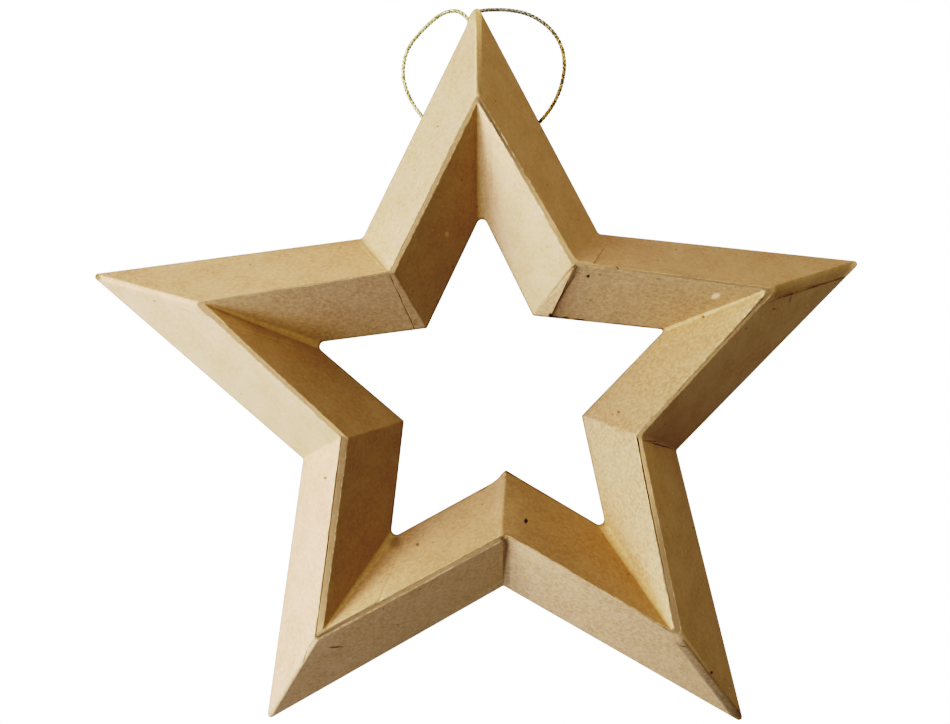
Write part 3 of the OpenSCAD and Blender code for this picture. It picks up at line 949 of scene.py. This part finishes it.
class Nodes:
    """Short names for the nodes of one material."""

    def __init__(self, name):
        self.material = bpy.data.materials.new(name)
        self.material.use_nodes = True
        self.tree = self.material.node_tree
        self.tree.nodes.clear()
        self.shader = self.add("ShaderNodeBsdfPrincipled")
        self.add("ShaderNodeOutputMaterial", Surface=self.shader.outputs["BSDF"])

    def fill(self, socket, value):
        """Gives a socket a number, a vector or a colour, or links another node's output to it."""
        if isinstance(value, bpy.types.NodeSocket):
            self.tree.links.new(value, socket)
        else:
            socket.default_value = value

    def set(self, node, **values):
        """Fills a node's inputs by name, with an underscore for each space."""
        for key, value in values.items():
            self.fill(node.inputs[key.replace("_", " ")], value)
        return node

    def add(self, kind, **values):
        return self.set(self.tree.nodes.new(kind), **values)

    def object_place(self, turn=(0, 0, 0)):
        """Places on the object in millimetres."""
        place = self.add("ShaderNodeTexCoord").outputs["Object"]
        mapping = self.add("ShaderNodeMapping", Vector=place, Scale=(1 / MM,) * 3, Rotation=turn)
        return mapping.outputs["Vector"]

    def card_place(self, scale, turn=0.0):
        place = self.add("ShaderNodeUVMap")
        place.uv_map = "card"
        spin = self.add("ShaderNodeMapping", Vector=place.outputs["UV"], Rotation=(0, 0, turn))
        stretch = self.add("ShaderNodeMapping", Vector=spin.outputs["Vector"], Scale=(*scale, 1))
        return stretch.outputs["Vector"]

    def noise(self, place, scale, detail=2.0, rough=0.5, distortion=0.0):
        node = self.add("ShaderNodeTexNoise", Vector=place, Scale=scale, Detail=detail, Roughness=rough,
                        Distortion=distortion)
        return node.outputs["Fac"]

    def spread(self, value, low, high, to_low=0.0, to_high=1.0):
        node = self.add("ShaderNodeMapRange", Value=value, From_Min=low, From_Max=high, To_Min=to_low,
                        To_Max=to_high)
        node.interpolation_type = "SMOOTHSTEP"
        return node.outputs["Result"]

    def maths(self, kind, a, b):
        node = self.add("ShaderNodeMath")
        node.operation = kind
        self.fill(node.inputs[0], a)
        self.fill(node.inputs[1], b)
        return node.outputs["Value"]

    def product(self, *values):
        found = values[0]
        for value in values[1:]:
            found = self.maths("MULTIPLY", found, value)
        return found

    def mix(self, share, a, b, kind="MIX"):
        node = self.add("ShaderNodeMix")
        node.data_type = "RGBA"
        node.blend_type = kind
        for key, value in (("Factor", share), ("A", a), ("B", b)):
            self.fill(node.inputs[key], (*value, 1.0) if isinstance(value, tuple) else value)
        return node.outputs["Result"]

    def dots(self, scale, turn, near, far):
        """Share, from 1 to 0, of round dots strewn over the card."""
        cells = self.add("ShaderNodeTexVoronoi", Vector=self.object_place(turn), Scale=scale)
        return self.spread(cells.outputs["Distance"], near, far, 1.0, 0.0)

    def spots(self, marks):
        """Share, from 0 to 1, of the strongest of some soft-edged spots and strokes."""
        place = self.add("ShaderNodeTexCoord").outputs["Object"]
        ragged = self.add("ShaderNodeTexNoise", Vector=place, Scale=RAG_SCALE)
        shift = self.add("ShaderNodeVectorMath")
        shift.operation = "MULTIPLY_ADD"
        for socket, value in zip(shift.inputs, (ragged.outputs["Color"], (RAG, 0, RAG), place)):
            self.fill(socket, value)
        found = 0.0
        for x, z, turn, half_length, half_width, strength in marks:
            local = self.add("ShaderNodeMapping", Vector=shift.outputs["Vector"],
                             Location=(x * MM + RAG / 2, 0, z * MM + RAG / 2),
                             Rotation=(0, -math.radians(turn), 0),
                             Scale=(half_length * MM, SPOT_DEPTH, half_width * MM))
            local.vector_type = "TEXTURE"
            reach = self.add("ShaderNodeVectorMath", Vector=local.outputs["Vector"])
            reach.operation = "LENGTH"
            spot = self.spread(reach.outputs["Value"], 0.5, 1.4, strength, 0.0)
            found = self.maths("MAXIMUM", spot, found)
        return found

    def bump(self, height, strength, distance):
        node = self.add("ShaderNodeBump", Height=height, Strength=strength, Distance=distance)
        return node.outputs["Normal"]

    def mark(self, name):
        node = self.add("ShaderNodeAttribute")
        node.attribute_name = name
        return node.outputs["Fac"]


def lin(red, green, blue):
    """Linear colour from the usual 0 to 255 numbers, none of them under 11."""
    return tuple(((c / 255 + 0.055) / 1.055) ** 2.4 for c in (red, green, blue))


KRAFT = lin(196, 168, 128)
KRAFT_DEEP = lin(190, 161, 120)
KRAFT_PALE = lin(208, 180, 137)
KRAFT_DIRT_AND_SHADE = lin(96, 74, 28)
KRAFT_WEAR_AND_HIGHLIGHT = lin(222, 196, 156)
FIBRE_DARK = lin(150, 118, 78)
FIBRE_LIGHT = lin(220, 198, 160)
SPECK_AND_SHADE = lin(80, 58, 16)
KRAFT_ROUGH = 0.88
KRAFT_GLOSS = 0.25
# Dark and light of the cord where it has painted light, where it is golden and where it has painted shade,
# and where along it that changes
THREAD_LIT = (lin(150, 134, 86), lin(222, 208, 158))
THREAD_GOLD = (lin(118, 96, 50), lin(210, 184, 122))
THREAD_SHADED = (lin(106, 94, 72), lin(172, 158, 132))
THREAD_SPARKLE = lin(250, 240, 185)
THREAD_METAL = 0.45
LOOP_TURNS = 62.0
LOOP_ENDS = 125.0


# Single marks, seen from the front: x, z, turn in degrees, half length, half width and strength
# Most are specks; the strokes down the bottom notch's crease and the dark marks at the foot of the lifted
# wedge are painted shade
OUTER_SPOTS = [
    (-23.5, -59, -72, 1.6, 0.2, 0.2), (77.8, -69.1, 80, 0.9, 0.25, 0.3), (73.2, -71.5, 0, 0.5, 0.3, 0.3),
    (55, -164.4, 0, 0.35, 0.35, 0.8), (63, -177, 55, 2.2, 1.2, 0.15), (43.9, -105.7, -19, 3.8, 0.13, 0.6),
    (40.6, -104.2, -8, 2.6, 0.12, 0.5), (2.5, -134.6, 90, 10, 0.3, 0.25), (3.2, -134.6, 90, 10, 0.9, 0.25),
    (2.3, -127.2, 60, 0.9, 0.6, 0.6), (-11.1, -21.7, 0, 0.3, 0.3, 0.45), (-42.5, -111.1, 10, 0.5, 0.3, 0.55),
    (-85.4, -64.5, 0, 0.35, 0.3, 0.35), (-46.8, -152.4, 53, 2.2, 0.18, 0.35),
    (-48.9, -156.2, 69, 2.1, 0.16, 0.45), (-41.1, -154.4, -5, 1.7, 0.25, 0.5),
    (33.4, -60.4, -50, 0.9, 0.2, 0.55), (-101.8, -57.4, -30, 1.2, 0.9, 0.5),
    (47.2, -156.3, 2, 1.2, 0.15, 0.5),
]
INNER_SPOTS = [
    (26, -61.8, 0, 0.38, 0.38, 0.85), (43.6, -63.2, 0, 0.5, 0.25, 0.2), (8.4, -123.8, 10, 0.45, 0.5, 0.9),
    (33.2, -96.7, 0, 0.3, 0.3, 0.5), (-29.3, -144.5, 0, 0.4, 0.35, 0.5), (-19.7, -129.5, 0, 0.4, 0.35, 0.5),
    (20.9, -64.1, 57, 5.7, 0.12, 0.35), (16.6, -71.1, 0, 0.5, 0.45, 0.9), (20.8, -71.8, -5, 0.9, 0.25, 0.6),
    (-25.7, -129.3, 0, 1.8, 1.4, 0.25), (55.9, -72.8, 0, 0.35, 0.35, 0.5), (-18.6, -71.8, 60, 1.1, 0.5, 0.2),
]
INNER_WEAR = [(58.3, -67.8, 20, 1.1, 0.7, 0.8), (-9.6, -49.5, 60, 0.7, 0.5, 0.25)]


# Fibres of the card: direction, colour and strength
FIBRES = (
    (0.35, FIBRE_DARK, 0.16), (1.75, FIBRE_LIGHT, 0.2), (2.6, FIBRE_DARK, 0.12), (1.0, FIBRE_LIGHT, 0.14),
)


def kraft(name, seed, spots, wear):
    """Grey-brown pressed card: cloudy, with short fibres, a few specks, dirty seams with painted shade, pale
    worn edges with painted highlights, and painted light and shade from its tone attribute.
    """
    n = Nodes(name)
    solid = n.object_place((0.3 * seed, 0.7 * seed, 1.1 * seed))
    cloud = n.spread(n.noise(solid, 0.14, 3.0, 0.55), 0.3, 0.7)
    mottle = n.spread(n.noise(solid, 1.0, 3.0, 0.6), 0.32, 0.68)
    colour = n.mix(cloud, KRAFT_DEEP, KRAFT)
    grain = n.mark("grain")
    colour = n.mix(n.product(mottle, 0.4, grain), colour, KRAFT_PALE)
    relief = n.noise(solid, 2.6, 3.0, 0.6)
    for i, (angle, tint, share) in enumerate(FIBRES):
        place = n.card_place((0.7, 3.4), angle + 0.2 * seed)
        strands = n.spread(n.noise(place, 1.0, 2.0, 0.5, 0.6), 0.6, 0.74)
        colour = n.mix(n.product(strands, share, grain), colour, tint)
        if i < 2:
            relief = n.maths("ADD", relief, n.product(strands, 0.35))
    specks = n.dots(0.17, (1.1 * seed, 0.4, 0.9), 0.03, 0.07)
    colour = n.mix(n.product(specks, 0.35), colour, SPECK_AND_SHADE)
    flecks = n.dots(0.24, (0.2, 1.3 * seed, 0.5), 0.04, 0.075)
    colour = n.mix(n.product(flecks, 0.5), colour, FIBRE_LIGHT)
    # Painted light and shade from the tone attribute
    colour = n.mix(1.0, colour, n.mark("tone"), "MULTIPLY")
    # Pale wear with painted highlights
    colour = n.mix(n.mark("pale"), colour, KRAFT_WEAR_AND_HIGHLIGHT)
    # Dirt with painted shade
    colour = n.mix(n.mark("dirt"), colour, KRAFT_DIRT_AND_SHADE)
    if wear:
        colour = n.mix(n.spots(wear), colour, KRAFT_WEAR_AND_HIGHLIGHT)
    if spots:
        # Specks, and the painted shade of some single marks
        colour = n.mix(n.spots(spots), colour, SPECK_AND_SHADE)
    n.set(n.shader, Base_Color=colour, Roughness=KRAFT_ROUGH, Specular_IOR_Level=KRAFT_GLOSS,
          Normal=n.bump(relief, 0.2, 0.00008))
    return n.material


def gold_thread():
    """Metal film wound round thread: painted light makes it pale on the first side of the loop, it is dark
    gold on the other, and painted shade darkens the strand near its end.
    """
    n = Nodes("gold_thread")
    place = n.object_place()
    run = n.mark("run")
    right = n.spread(run, LOOP_TURNS, LOOP_TURNS + 15.0)
    top = n.spread(run, LOOP_ENDS - 22.0, LOOP_ENDS - 6.0)
    patch = n.spread(n.noise(place, 1.6, 3.0, 0.6), 0.36, 0.62)
    dark = n.mix(top, n.mix(right, THREAD_LIT[0], THREAD_GOLD[0]), THREAD_SHADED[0])
    light = n.mix(top, n.mix(right, THREAD_LIT[1], THREAD_GOLD[1]), THREAD_SHADED[1])
    colour = n.mix(patch, dark, light)
    # Painted glints of the metal film
    sparkle = n.spread(n.noise(place, 4.5, 2.0, 0.5), 0.6, 0.7)
    colour = n.mix(n.product(sparkle, 0.4), colour, THREAD_SPARKLE)
    n.set(n.shader, Base_Color=colour, Metallic=THREAD_METAL, Roughness=n.spread(patch, 0.0, 1.0, 0.5, 0.35),
          Normal=n.bump(n.noise(place, 7.0, 2.0, 0.5), 0.6, 0.0001))
    return n.material


def dress(obj, material):
    obj.data.materials.clear()
    obj.data.materials.append(material)


dress(outer, kraft("kraft_outer_card", 1, OUTER_SPOTS, []))
dress(inner, kraft("kraft_inner_card", 2, INNER_SPOTS, INNER_WEAR))
dress(panel, kraft("kraft_back_card", 3, [], []))
gold = gold_thread()
dress(cord, gold)
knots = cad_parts["cord_knot"]
for knot in knots if isinstance(knots, list) else [knots]:
    for slot in knot.material_slots:
        slot.material = gold


# Floor, surroundings and lights

FLOOR_Z = -950.0
FLOOR_FRONT = -1800.0
FLOOR_BACK = 2400.0
FLOOR_HALF = 1800.0
FLOOR_COLOUR = (0.92, 0.92, 0.92, 1)
FLOOR_ROUGH = 0.9


def make_floor():
    mesh = bpy.data.meshes.new("floor")
    plan = [(-1, FLOOR_FRONT), (1, FLOOR_FRONT), (1, FLOOR_BACK), (-1, FLOOR_BACK)]
    mesh.from_pydata([(x * FLOOR_HALF * MM, y * MM, FLOOR_Z * MM) for x, y in plan], [], [(0, 1, 2, 3)])
    floor = bpy.data.objects.new("floor", mesh)
    bpy.context.collection.objects.link(floor)
    n = Nodes("pale_floor")
    n.set(n.shader, Base_Color=FLOOR_COLOUR, Roughness=FLOOR_ROUGH)
    dress(floor, n.material)


def make_world():
    """White to the camera, dim and warm as a light."""
    world = bpy.data.worlds.new("studio")
    bpy.context.scene.world = world
    world.use_nodes = True
    tree = world.node_tree
    tree.nodes.clear()
    out = tree.nodes.new("ShaderNodeOutputWorld")
    mix = tree.nodes.new("ShaderNodeMixShader")
    seen = tree.nodes.new("ShaderNodeBackground")
    seen.inputs["Color"].default_value = (1, 1, 1, 1)
    seen.inputs["Strength"].default_value = 1.0
    glow = tree.nodes.new("ShaderNodeBackground")
    glow.inputs["Color"].default_value = WORLD_GLOW
    glow.inputs["Strength"].default_value = 1.0
    path = tree.nodes.new("ShaderNodeLightPath")
    tree.links.new(path.outputs["Is Camera Ray"], mix.inputs["Fac"])
    tree.links.new(glow.outputs["Background"], mix.inputs[1])
    tree.links.new(seen.outputs["Background"], mix.inputs[2])
    tree.links.new(mix.outputs["Shader"], out.inputs["Surface"])


STAR_MIDDLE = Vector((0, 0, -91.5)) * MM
WORLD_GLOW = (0.246, 0.242, 0.346, 1)
# Each light: name, direction from the star's middle, distance and size in metres, colour and power
LIGHTS = [
    ("window", (-1.0, -0.5, 0.0), 1.0, 0.7, (0.92, 1.0, 0.86), 3.73),
    ("window_low", (-1.0, -1.0, -0.6), 1.0, 0.7, (0.17, 0.31, 1.0), 4.04),
    ("front", (0.0, -1.0, 0.0), 1.0, 0.7, (0.77, 1.0, 0.27), 1.77),
    ("key", (-1.0, -1.0, 0.0), 0.4, 0.3, (0.77, 0.81, 1.0), 0.881),
    ("key_high", (-1.0, -1.0, 0.6), 0.4, 0.3, (0.58, 0.57, 1.0), 0.49),
    ("fill_right", (0.5, -0.6, 1.0), 0.4, 0.3, (0.88, 0.94, 1.0), 0.27),
]
# Spot on the back panel, which its cone keeps off the floor: as above, with the cone in degrees
BACK_LIGHT = ("behind", (0.3, 1.0, 0.3), 1.2, 0.3, (0.62, 0.7, 1.0), 38.0)
BACK_CONE = 26.0
# Tone curve of the photograph: deep shadows and soft highlights
TONE_CURVE = [
    (0.02, 0.004), (0.05, 0.0086), (0.1, 0.0186), (0.18, 0.1192), (0.3, 0.3555), (0.45, 0.589),
    (0.65, 0.7403),
]


def make_light(name, direction, distance, size, colour, power, cone=None):
    data = bpy.data.lights.new(name, "AREA" if cone is None else "SPOT")
    if cone is None:
        data.shape = "DISK"
        data.size = size
    else:
        data.shadow_soft_size = size / 2
        data.spot_size = math.radians(cone)
        data.spot_blend = 0.5
    data.color = colour
    data.energy = power
    light = bpy.data.objects.new(name, data)
    away = Vector(direction).normalized()
    light.location = STAR_MIDDLE + away * distance
    light.rotation_euler = away.to_track_quat("Z", "Y").to_euler()
    bpy.context.collection.objects.link(light)


def set_tones():
    settings = bpy.context.scene.view_settings
    settings.view_transform = "Standard"
    settings.use_curve_mapping = True
    curve = settings.curve_mapping.curves[3]
    for place, tone in TONE_CURVE:
        curve.points.new(place, tone)
    for point in curve.points:
        point.handle_type = "AUTO_CLAMPED"
    settings.curve_mapping.update()


make_floor()
make_world()
for light in LIGHTS:
    make_light(*light)
make_light(*BACK_LIGHT, BACK_CONE)
set_tones()
